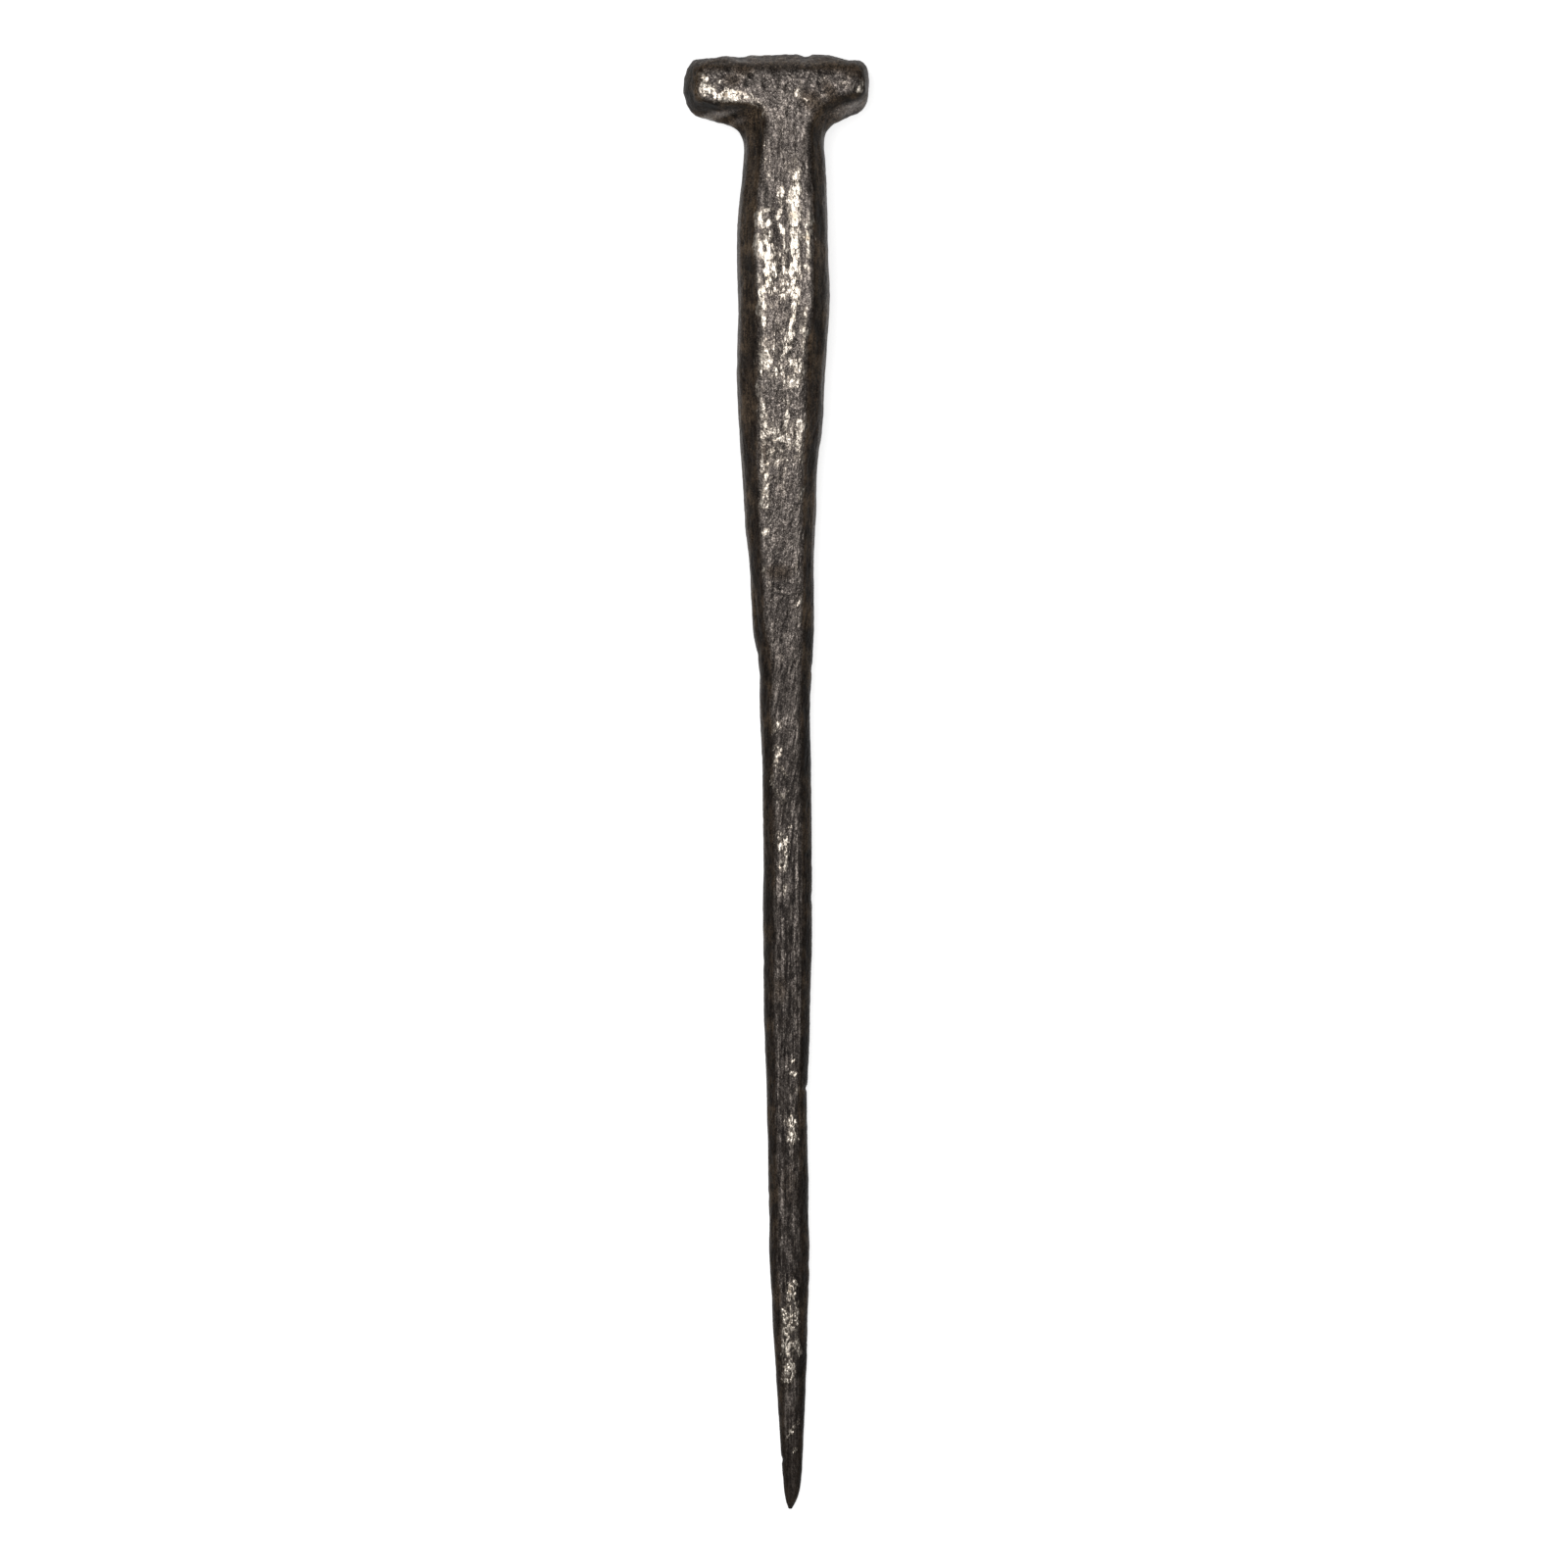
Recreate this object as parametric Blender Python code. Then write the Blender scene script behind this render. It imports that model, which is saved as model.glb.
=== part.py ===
"""Hand-forged, T-headed iron rail spike, lying on its back.

The spike is one solid forging: a square bar with its corners hammered off, spread sideways at one end into a
T head with two lugs, and drawn down to a point at the other. It lies along Y with the striking face at +Y and
the point at -Y. X runs across the head. Z runs from the flat back, at 0, to the front. The origin is the middle
of the bounding box, at its bottom.

The skin is a row of rings from the striking face to the point. Each ring has twelve corners: on each side the
front arris, the shoulder below it, the upper and lower limits of the side, the rear shoulder and the rear
arris. The arrises and shoulders are rounded.
"""
from collections import namedtuple

import bmesh
import bpy
from mathutils import Vector

MM = 0.001

# Driving dimensions, in millimetres.
LENGTH = 254.0               # from the striking face to the point
BAR = 15.9                   # thickness of the square bar that was forged, left whole at the belly
HEAD_DEPTH = 14.6            # from the back to the front of the head
ARRIS_RADIUS = 0.55          # how far the rounding of an arris reaches along the faces beside it
CHAMFER_SHARE = 0.21         # depth of a shank chamfer, as a share of the shank's depth
SHOULDER_SHARE = 0.16        # how far a shank's shoulder stands in from its side, as a share of the chamfer
FLAT_OFFSET_SHARE = 0.02     # how far the flats sit to the right of the shank's middle, as a share of its width
SIDE_LOW_SHARE = 0.38        # height of the lower limit of the upright side, as a share of the depth
SIDE_HIGH_SHARE = 0.62       # height of the upper limit of the upright side, as a share of the depth
RING_SPACING = 3.5           # along the shank
HEAD_RINGS_PER_SPAN = 3      # rings for each span between two stations of the head

# A station of the head. The four points are (x, distance below the striking face). The edge is the outline of
# the head and the arris bounds its flats. set_back is how far the arris lies below the front and above the
# back, chamfer is the height from the arris to the shoulder, and shoulder is how far the shoulder stands in
# from the edge, as a share of the way to the arris.
HeadStation = namedtuple("HeadStation", "left_edge left_arris right_arris right_edge set_back chamfer shoulder")
HEAD = [
    HeadStation((-4.0, 0.0), (-3.0, 0.0), (6.0, 0.0), (7.0, 0.0), 4.2, 0.8, 0.4),
    HeadStation((-13.8, 0.7), (-12.6, 1.0), (13.8, 1.1), (14.4, 0.9), 2.2, 1.4, 0.4),
    HeadStation((-15.4, 2.2), (-13.7, 2.8), (15.0, 2.7), (15.7, 2.2), 0.0, 3.0, 0.4),
    HeadStation((-16.2, 5.9), (-14.1, 6.0), (15.5, 5.0), (16.2, 5.0), 0.0, 2.8, 0.35),
    HeadStation((-15.4, 9.1), (-13.8, 8.0), (15.3, 6.9), (15.6, 8.4), 0.0, 2.8, 0.45),
    HeadStation((-13.6, 10.8), (-10.5, 8.6), (13.3, 7.3), (14.2, 10.1), 0.0, 2.8, 0.5),
    HeadStation((-8.3, 12.3), (-3.6, 8.9), (9.6, 8.1), (10.3, 11.8), 0.0, 3.0, 0.45),
    HeadStation((-6.8, 13.1), (-2.0, 10.0), (7.8, 9.2), (9.2, 12.6), 0.0, 3.2, 0.3),
    HeadStation((-6.0, 14.4), (-1.7, 11.4), (6.6, 11.2), (8.5, 13.6), 0.0, 3.2, 0.2),
    HeadStation((-5.6, 16.2), (-2.5, 13.4), (6.0, 13.3), (8.2, 15.4), 0.0, 3.1, 0.16),
    HeadStation((-5.7, 18.4), (-2.8, 17.2), (6.1, 17.2), (8.4, 18.0), 0.0, 3.0, 0.16),
]
STRIKING_SPAN = 0            # the span that is the crown of the striking face
BEARING_SPAN = 5             # the span whose sides are the straight undersides of the lugs
SIDE_CORNERS = 6             # corners on each side of a ring
UPRIGHT_CORNERS = (2, 3)     # the limits of the upright side, counted from the front arris

# A station of the shank: its distance below the striking face, its width, how far its middle lies to the right
# of the origin, and the width of its flats as a share of its own.
ShankStation = namedtuple("ShankStation", "below width middle flat")
SHANK = [
    ShankStation(16.0, 13.9, 1.35, 0.60),
    ShankStation(20.0, 14.4, 1.35, 0.62),
    ShankStation(27.0, 15.4, 1.10, 0.64),
    ShankStation(33.0, BAR, 1.00, 0.65),
    ShankStation(43.0, 15.9, 1.30, 0.62),
    ShankStation(48.0, 15.7, 1.10, 0.55),
    ShankStation(56.0, 15.3, 0.70, 0.53),
    ShankStation(64.0, 14.6, 0.75, 0.56),
    ShankStation(71.0, 13.3, 0.50, 0.61),
    ShankStation(77.0, 12.6, 0.60, 0.60),
    ShankStation(82.0, 12.3, 0.65, 0.62),
    ShankStation(87.0, 11.3, 0.85, 0.65),
    ShankStation(96.0, 10.9, 1.10, 0.61),
    ShankStation(102.0, 10.3, 1.30, 0.58),
    ShankStation(106.0, 9.2, 1.60, 0.52),
    ShankStation(113.0, 8.8, 1.45, 0.55),
    ShankStation(122.0, 8.5, 1.70, 0.56),
    ShankStation(142.0, 8.5, 1.95, 0.55),
    ShankStation(162.0, 8.2, 1.90, 0.57),
    ShankStation(173.0, 7.8, 1.85, 0.60),
    ShankStation(181.0, 7.1, 1.80, 0.52),
    ShankStation(196.0, 6.9, 2.05, 0.50),
    ShankStation(209.0, 6.9, 2.25, 0.48),
    ShankStation(222.0, 5.9, 2.40, 0.48),
    ShankStation(235.0, 4.8, 2.60, 0.50),
    ShankStation(247.0, 3.5, 2.70, 0.50),
    ShankStation(251.0, 2.6, 2.65, 0.50),
    ShankStation(253.2, 1.4, 2.45, 0.50),
    ShankStation(LENGTH, 0.6, 2.35, 0.50),
]
SHANK_START = 21.0           # the first shank ring, below the striking face
POINT_START = 247.0          # where the rings close up towards the point
POINT_RINGS = 6
POINT_CLOSING = 1.6          # how fast they close up, as a power
SHARP_ANGLE = 0.6            # in radians; faces that meet at less are shaded as one smooth surface

# The side profile: distance below the striking face and depth from back to front.
DEPTHS = [
    (0.0, HEAD_DEPTH),
    (10.0, HEAD_DEPTH),
    (20.0, HEAD_DEPTH),
    (32.0, 15.6),
    (41.0, BAR),
    (52.0, 15.4),
    (70.0, 13.3),
    (90.0, 11.0),
    (107.0, 9.2),
    (140.0, 8.3),
    (175.0, 7.5),
    (208.0, 6.7),
    (232.0, 5.0),
    (247.0, 3.4),
    (252.0, 2.2),
    (LENGTH, 0.7),
]


def clear_scene():
    for item in list(bpy.data.objects):
        bpy.data.objects.remove(item, do_unlink=True)


def hermite(before, start, end, after, part):
    """A point of the smooth curve between start and end; before and after are the points on either side."""
    tangent_in = (end - before) / 2
    tangent_out = (after - start) / 2
    square = part * part
    cube = square * part
    return (
        start * (2 * cube - 3 * square + 1)
        + tangent_in * (cube - 2 * square + part)
        + end * (3 * square - 2 * cube)
        + tangent_out * (cube - square)
    )


def profile_value(profile, below):
    """The height of a smooth profile of (distance, value) points at one distance."""
    last = len(profile) - 1
    span = 0
    while span < last - 1 and below > profile[span + 1][0]:
        span += 1
    start, end = profile[span], profile[span + 1]
    reach = end[0] - start[0]
    slopes = []
    for index in (span, span + 1):
        left = profile[max(index - 1, 0)]
        right = profile[min(index + 1, last)]
        slopes.append((right[1] - left[1]) / (right[0] - left[0]))
    before = end[1] - 2 * slopes[0] * reach
    after = start[1] + 2 * slopes[1] * reach
    return hermite(before, start[1], end[1], after, (below - start[0]) / reach)


def depth_at(below):
    return profile_value(DEPTHS, below)


def side_corners(edge, arris, set_back, chamfer, shoulder):
    """One side of a ring from its front arris round to its rear arris. Points are (x, y, z) in millimetres."""
    depth = depth_at(edge[1])
    edge_y = LENGTH / 2 - edge[1]
    arris_y = LENGTH / 2 - arris[1]
    shoulder_x = edge[0] + (arris[0] - edge[0]) * shoulder
    shoulder_y = edge_y + (arris_y - edge_y) * shoulder
    low = set_back + chamfer
    return [
        Vector((arris[0], arris_y, depth - set_back)),
        Vector((shoulder_x, shoulder_y, depth - low)),
        Vector((edge[0], edge_y, depth * SIDE_HIGH_SHARE)),
        Vector((edge[0], edge_y, depth * SIDE_LOW_SHARE)),
        Vector((shoulder_x, shoulder_y, low)),
        Vector((arris[0], arris_y, set_back)),
    ]


def rounded(corners):
    """The ring's points: each arris and shoulder becomes two points, and the limits of the sides stay single."""
    points = []
    count = len(corners)
    for index, corner in enumerate(corners):
        if index % SIDE_CORNERS in UPRIGHT_CORNERS:
            points.append(corner)
            continue
        for neighbour in (corners[index - 1], corners[(index + 1) % count]):
            run = neighbour - corner
            reach = min(ARRIS_RADIUS, run.length / 4)
            points.append(corner + run.normalized() * reach)
    return points


def ring(left_side, right_side):
    """Twelve corners, from the right front arris round the back to the left front arris, then rounded."""
    return rounded(right_side + list(reversed(left_side)))


def head_ring(stations, part):
    """A ring of the head, part of the way along the span between the two middle ones of four stations."""
    def blend(field):
        values = [getattr(station, field) for station in stations]
        if isinstance(values[0], tuple):
            values = [Vector(value) for value in values]
        return hermite(*values, part)

    shape = (max(blend("set_back"), 0.0), blend("chamfer"), blend("shoulder"))
    left = side_corners(blend("left_edge"), blend("left_arris"), *shape)
    right = side_corners(blend("right_edge"), blend("right_arris"), *shape)
    return ring(left, right)


def head_rings():
    rings = []
    last = len(HEAD) - 1
    for span in range(last):
        indices = (span - 1, span, span + 1, span + 2)
        stations = [HEAD[min(max(index, 0), last)] for index in indices]
        straight = span in (STRIKING_SPAN, BEARING_SPAN)
        steps = 1 if straight else HEAD_RINGS_PER_SPAN
        for step in range(steps):
            rings.append(head_ring(stations, step / steps))
    rings.append(head_ring([HEAD[last]] * 4, 0.0))
    return rings


def shank_ring(below):
    width = profile_value([(s.below, s.width) for s in SHANK], below)
    middle = profile_value([(s.below, s.middle) for s in SHANK], below)
    flat = profile_value([(s.below, s.flat) for s in SHANK], below)
    chamfer = depth_at(below) * CHAMFER_SHARE
    flat_middle = middle + width * FLAT_OFFSET_SHARE
    sides = []
    for way in (-1, 1):
        edge = (middle + way * width / 2, below)
        arris = (flat_middle + way * width * flat / 2, below)
        sides.append(side_corners(edge, arris, 0.0, chamfer, SHOULDER_SHARE))
    return ring(*sides)


def shank_distances():
    """Even steps down the shank, then steps that shorten towards the point."""
    steps = round((POINT_START - SHANK_START) / RING_SPACING)
    spacing = (POINT_START - SHANK_START) / steps
    distances = [SHANK_START + spacing * step for step in range(steps)]
    reach = LENGTH - POINT_START
    for step in range(POINT_RINGS + 1):
        left = 1 - step / POINT_RINGS
        distances.append(LENGTH - reach * left ** POINT_CLOSING)
    return distances


def forging_mesh():
    rings = head_rings() + [shank_ring(below) for below in shank_distances()]
    mesh_data = bmesh.new()
    rows = [[mesh_data.verts.new(point * MM) for point in points] for points in rings]
    for upper, lower in zip(rows, rows[1:]):
        for index in range(len(upper)):
            follow = (index + 1) % len(upper)
            mesh_data.faces.new((upper[index], upper[follow], lower[follow], lower[index]))
    mesh_data.faces.new(list(reversed(rows[0])))
    mesh_data.faces.new(rows[-1])
    bmesh.ops.recalc_face_normals(mesh_data, faces=mesh_data.faces)
    mesh = bpy.data.meshes.new("spike")
    mesh_data.to_mesh(mesh)
    mesh_data.free()
    mesh.shade_smooth()
    mesh.set_sharp_from_angle(angle=SHARP_ANGLE)
    return mesh


def wrought_iron():
    material = bpy.data.materials.new("wrought_iron")
    material.use_nodes = True
    shader = material.node_tree.nodes["Principled BSDF"]
    shader.inputs["Base Color"].default_value = (0.075, 0.066, 0.06, 1.0)
    shader.inputs["Roughness"].default_value = 0.5
    shader.inputs["Metallic"].default_value = 0.8
    return material


def make_spike():
    spike = bpy.data.objects.new("spike", forging_mesh())
    spike.data.materials.append(wrought_iron())
    bpy.context.scene.collection.objects.link(spike)


clear_scene()
make_spike()
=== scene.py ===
"""Looks of the hand-forged rail spike: the forged skin, the worn iron, the studio and the camera.

The spike's own solid gives the shape. It is remeshed finely, and its skin is then moved by small amounts:
the unevenness of the hammer work, pits, nicks and laps. What differs over the surface, such as which faces
are rubbed bright, is kept in point attributes that the iron's nodes read.

Places on the spike are millimetres in the frame's axes: X across the head, Y along the spike, Z out of the
front. Going down Y, the head ends at about 115, the neck at 100, the belly at 60 and the middle of the shank
at -30, and the point is at -127.
"""
import math
from types import SimpleNamespace

import bmesh
import bpy
import numpy as np
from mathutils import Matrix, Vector, noise


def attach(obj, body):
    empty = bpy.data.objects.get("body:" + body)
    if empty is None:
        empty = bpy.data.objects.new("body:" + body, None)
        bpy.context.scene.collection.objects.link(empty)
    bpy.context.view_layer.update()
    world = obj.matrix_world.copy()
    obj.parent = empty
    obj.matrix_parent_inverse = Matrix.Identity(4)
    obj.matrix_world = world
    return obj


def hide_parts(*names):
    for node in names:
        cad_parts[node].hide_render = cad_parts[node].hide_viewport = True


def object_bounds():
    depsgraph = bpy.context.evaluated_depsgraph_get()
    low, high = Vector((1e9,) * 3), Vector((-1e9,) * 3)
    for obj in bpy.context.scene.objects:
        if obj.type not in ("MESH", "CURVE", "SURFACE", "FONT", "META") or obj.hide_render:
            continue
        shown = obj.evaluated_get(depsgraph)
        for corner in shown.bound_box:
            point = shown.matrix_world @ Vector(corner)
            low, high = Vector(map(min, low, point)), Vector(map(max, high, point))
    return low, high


MM = 0.001
VOXEL = 0.34 * MM              # size of the skin's faces
WELD = 0.001 * MM              # the solid's corners closer than this are one
CREST_GAIN = 6.0               # makes the skin's small crests and hollows fill the attribute's range

# Colours of the iron. DEEP is for the hollows of its relief, PROUD and CREST for what stands out of it.
SCALE_DEEP = (0.006, 0.0045, 0.0035, 1)
SCALE_PROUD = (0.038, 0.027, 0.020, 1)
# Near-black for black scale and for painted shade.
BLACK_SCALE_AND_SHADE = (0.006, 0.005, 0.004, 1)
GREY_DEEP = (0.034, 0.029, 0.026, 1)
GREY_PROUD = (0.102, 0.088, 0.080, 1)
# The crests' grey is partly burnish and partly a painted highlight on raised grain.
GREY_CREST = (0.31, 0.27, 0.242, 1)
GREY_LOWER = (0.022, 0.018, 0.016, 1)
# The dull bands' grey, lighter than rubbed metal alone: painted reflection and painted light.
GREY_DULLED_AND_LIT = (0.18, 0.16, 0.146, 1)
# A painted highlight: the light colour of single grains that stand for glints.
PAINTED_GLINT = (0.50, 0.44, 0.39, 1)
HALO = (0.26, 0.22, 0.18, 1)
RUST_DEEP = (0.026, 0.017, 0.011, 1)
RUST_PROUD = (0.21, 0.145, 0.09, 1)
BARE = (0.60, 0.54, 0.468, 1)
BARE_STAINED = (0.42, 0.335, 0.24, 1)
BARE_RIM = (0.34, 0.297, 0.25, 1)

SPECULAR = 0.08                # the scale and the rust hardly shine
BARE_ROUGHNESS = 0.31
BUMP_DEPTH = 0.16 * MM

# The marks drawn along the shank lean by this much between these two heights.
LEAN = 0.15
LEAN_FROM = 58.0
LEAN_TO = -10.0
HEAD_BASE = 115.0              # below it the grain is drawn out, above it the grain is nearly round
TURN_AXIS = (0.41, 0.66, 0.63)  # slants to all three axes

# Camera: straight above, far away with a long lens, as in the photo. Lens and sensor are in millimetres.
LENS = 300.0
SENSOR = 36.0
FILL = 0.93                    # share of the frame's side that the spike's length takes up
AIM = (1.3 * MM, -0.1 * MM)    # from the middle of the spike's box
SIZED_AT = 0.6                 # share of the spike's depth at which FILL is true

FLOOR_HALF = 1.5               # half the floor's side, in metres
FLOOR_GAP = 0.02 * MM          # keeps the floor just clear of the spike's back
FLOOR_WHITE = 0.9
FLOOR_GLOW = 0.27              # what the floor gives the spike
FLOOR_GLOW_SEEN = 0.66         # what the camera sees

# Patches on the front that handling has rubbed bright, and one soft patch on the head that is a painted
# sheen.
# Each is a soft ellipse: x, y, half width and half length in millimetres, lean from the long axis in degrees
# (positive leans the top to the right) and strength.
BRIGHT_PATCHES = [
    # left lug
    (-12.6, 121.0, 1.3, 1.7, 0, 0.92),
    (-11.1, 120.2, 0.9, 1.0, 0, 0.76),
    (-9.3, 119.5, 1.2, 0.9, 0, 0.7),
    (-7.6, 119.7, 1.7, 1.1, 0, 0.95),
    (-12.9, 122.6, 0.9, 0.8, 0, 0.75),
    (-10.6, 121.8, 1.0, 0.6, 0, 0.5),
    (-5.4, 119.0, 2.2, 0.8, 20, 0.5),
    (-3.4, 117.9, 1.6, 0.8, 30, 0.55),
    (-2.2, 116.4, 0.5, 1.2, 0, 0.45),
    # right lug and the middle of the head
    (14.9, 121.6, 0.4, 1.3, 20, 0.95),
    (14.1, 120.9, 0.25, 0.9, 20, 0.85),
    (15.6, 120.8, 0.2, 0.8, 20, 0.8),
    (11.8, 121.9, 0.9, 0.5, 0, 0.5),
    (9.0, 122.4, 1.0, 0.5, 60, 0.4),
    # a painted sheen on the raised lump of the head
    (4.1, 119.6, 1.4, 1.4, 0, 0.5),
    (3.6, 122.3, 1.2, 1.0, 0, 0.45),
    (0.5, 118.5, 3.2, 3.0, 0, 0.18),
    # neck
    (-1.8, 108.5, 1.0, 3.2, 0, 0.34),
    (1.5, 110.0, 3.0, 4.0, 0, 0.2),
    (3.4, 105.6, 0.9, 1.5, 0, 0.85),
    (3.0, 102.2, 0.9, 3.2, 4, 1.0),
    (1.0, 101.8, 0.35, 2.6, 4, 0.85),
    (3.2, 107.6, 0.7, 0.9, 0, 0.5),
    (-1.8, 103.8, 1.2, 3.2, 0, 0.3),
    # belly, upper half: the arch on the left
    (-1.6, 99.6, 1.3, 0.5, 0, 0.84),
    (-3.0, 98.3, 0.7, 1.2, 0, 0.84),
    (0.3, 98.8, 0.6, 1.0, 0, 0.84),
    (-1.6, 97.1, 1.7, 0.5, 0, 0.79),
    (-1.7, 94.7, 0.6, 2.0, 0, 0.84),
    (-3.2, 93.1, 0.7, 2.3, 0, 0.84),
    (-1.4, 92.2, 1.3, 1.4, 0, 0.93),
    (1.2, 96.4, 0.5, 1.1, 0, 0.84),
    # the middle column
    (3.1, 99.4, 1.0, 3.2, 0, 0.93),
    (3.1, 94.4, 1.1, 3.2, 0, 0.89),
    (3.1, 89.4, 1.2, 3.2, 0, 0.89),
    (3.0, 85.8, 1.2, 2.2, 0, 0.84),
    (1.3, 93.2, 0.4, 2.6, 4, 0.65),
    (3.3, 83.2, 0.4, 1.6, 4, 0.88),
    # the right column
    (5.4, 98.0, 0.8, 1.8, 0, 0.79),
    (5.5, 94.6, 0.8, 1.4, 0, 0.84),
    (5.6, 92.4, 0.7, 1.4, 0, 0.74),
    (5.2, 89.6, 0.6, 1.0, -20, 0.56),
    # dense middle of the belly
    (-1.0, 89.6, 1.9, 1.7, 0, 0.87),
    (0.8, 90.6, 0.5, 3.0, -8, 0.56),
    (-2.8, 84.3, 0.6, 4.0, 0, 0.74),
    (-1.2, 86.2, 1.4, 1.9, 0, 0.73),
    (0.9, 86.0, 1.0, 2.2, 0, 0.62),
    (-2.5, 81.3, 1.0, 2.8, 0, 0.70),
    (-0.4, 83.2, 1.6, 1.8, 0, 0.42),
    (1.6, 82.4, 1.2, 2.0, 0, 0.32),
    # the leaning streak
    (2.9, 80.6, 0.3, 2.2, 14, 1.0),
    (2.2, 77.9, 0.3, 2.2, 14, 0.95),
    (1.5, 75.2, 0.3, 1.8, 14, 0.85),
    (1.6, 77.0, 0.2, 2.2, 14, 0.6),
    # belly, lower half
    (4.8, 81.0, 0.7, 1.5, 0, 0.55),
    (4.8, 78.5, 0.8, 1.7, 0, 0.68),
    (4.6, 75.6, 0.2, 1.8, 8, 0.55),
    (-0.1, 76.4, 0.7, 0.3, 0, 0.75),
    (-2.3, 76.3, 1.1, 1.6, 0, 0.62),
    (-2.2, 73.4, 1.5, 1.9, 0, 0.84),
    (0.4, 72.2, 1.0, 1.8, 14, 0.74),
    (3.0, 73.3, 1.4, 0.7, 10, 0.82),
    (4.2, 71.9, 0.7, 1.5, -10, 0.74),
    (2.8, 69.8, 1.5, 1.0, 20, 0.81),
    (1.9, 74.6, 1.0, 0.9, 0, 0.6),
    (-2.6, 68.0, 0.8, 1.6, 0, 0.58),
    (0.8, 74.5, 3.6, 8.0, 0, 0.42),
    # below the belly
    (1.9, 66.5, 0.4, 0.5, 0, 0.9),
    (1.6, 63.9, 0.35, 1.6, 0, 0.95),
    (-2.2, 64.6, 0.8, 1.5, 0, 0.72),
    (-2.0, 61.6, 0.9, 2.6, 0, 0.68),
    (-0.2, 61.2, 1.3, 1.4, 20, 0.78),
    (1.1, 60.0, 1.4, 1.3, -30, 0.85),
    (0.0, 58.8, 1.8, 1.1, 0, 0.5),
    (4.1, 62.4, 1.3, 0.9, 0, 0.8),
    (4.0, 60.0, 0.9, 1.9, 0, 0.72),
    (4.0, 57.2, 0.7, 1.6, 0, 0.62),
    (1.0, 60.4, 3.9, 3.4, 0, 0.6),
    (0.0, 57.0, 3.0, 2.5, 0, 0.52),
    (-2.0, 55.4, 0.6, 3.2, 0, 0.68),
    (0.8, 52.6, 3.4, 2.6, 0, 0.36),
    (-1.8, 51.9, 0.8, 1.8, 0, 0.62),
    (-1.7, 49.2, 1.2, 1.6, 0, 0.69),
    (-1.5, 46.4, 0.6, 1.2, 0, 0.34),
    (4.5, 50.4, 0.15, 1.1, 6, 1.0),
    (-1.9, 43.9, 0.25, 0.6, 0, 0.67),
    (-2.4, 37.0, 0.3, 1.0, 0, 0.59),
    (-1.1, 34.4, 0.3, 0.3, 0, 0.59),
    (4.1, 31.7, 0.3, 0.3, 0, 0.76),
    (3.3, 37.6, 0.3, 0.4, 0, 0.5),
    (0.6, 22.0, 0.4, 0.6, 0, 0.42),
    # middle of the shank
    (0.3, 9.8, 0.4, 1.2, 15, 0.6),
    (0.3, 5.6, 0.8, 1.0, 0, 0.62),
    (-0.2, 3.4, 0.6, 1.3, 0, 0.62),
    (1.5, 1.9, 0.9, 0.4, 0, 0.63),
    (-0.8, 0.4, 0.25, 0.9, 0, 0.67),
    (0.9, -2.2, 1.3, 1.0, 0, 0.42),
    (1.2, -10.9, 1.2, 2.4, -12, 0.6),
    (1.2, -14.2, 0.7, 1.2, 0, 0.67),
    (1.3, -19.1, 0.4, 1.2, 0, 0.55),
    (2.3, -7.4, 0.25, 0.3, 0, 0.63),
    # lower shank
    (2.3, -95.0, 1.3, 9.0, 3, 0.57),
    (2.7, -60.0, 0.9, 3.5, 0, 0.45),
    (2.8, -48.3, 0.3, 0.3, 0, 0.76),
    (2.8, -50.9, 0.3, 0.3, 0, 0.76),
    (3.7, -53.4, 0.3, 0.3, 0, 0.5),
    (2.7, -58.8, 0.7, 1.1, 0, 0.71),
    (2.7, -61.6, 0.9, 1.1, 0, 0.76),
    (2.5, -88.7, 1.1, 2.1, 0, 0.76),
    (1.7, -93.0, 0.6, 2.8, 5, 0.77),
    (3.4, -92.9, 0.3, 1.3, 0, 0.7),
    (1.6, -98.0, 0.7, 1.3, 0, 0.86),
    (3.5, -98.4, 0.4, 1.0, 0, 0.7),
    (2.2, -102.2, 0.8, 2.4, 0, 0.82),
    (2.9, -112.9, 0.1, 2.0, 25, 0.79),
    (3.3, -116.6, 0.3, 0.3, 0, 0.7),
]

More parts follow.
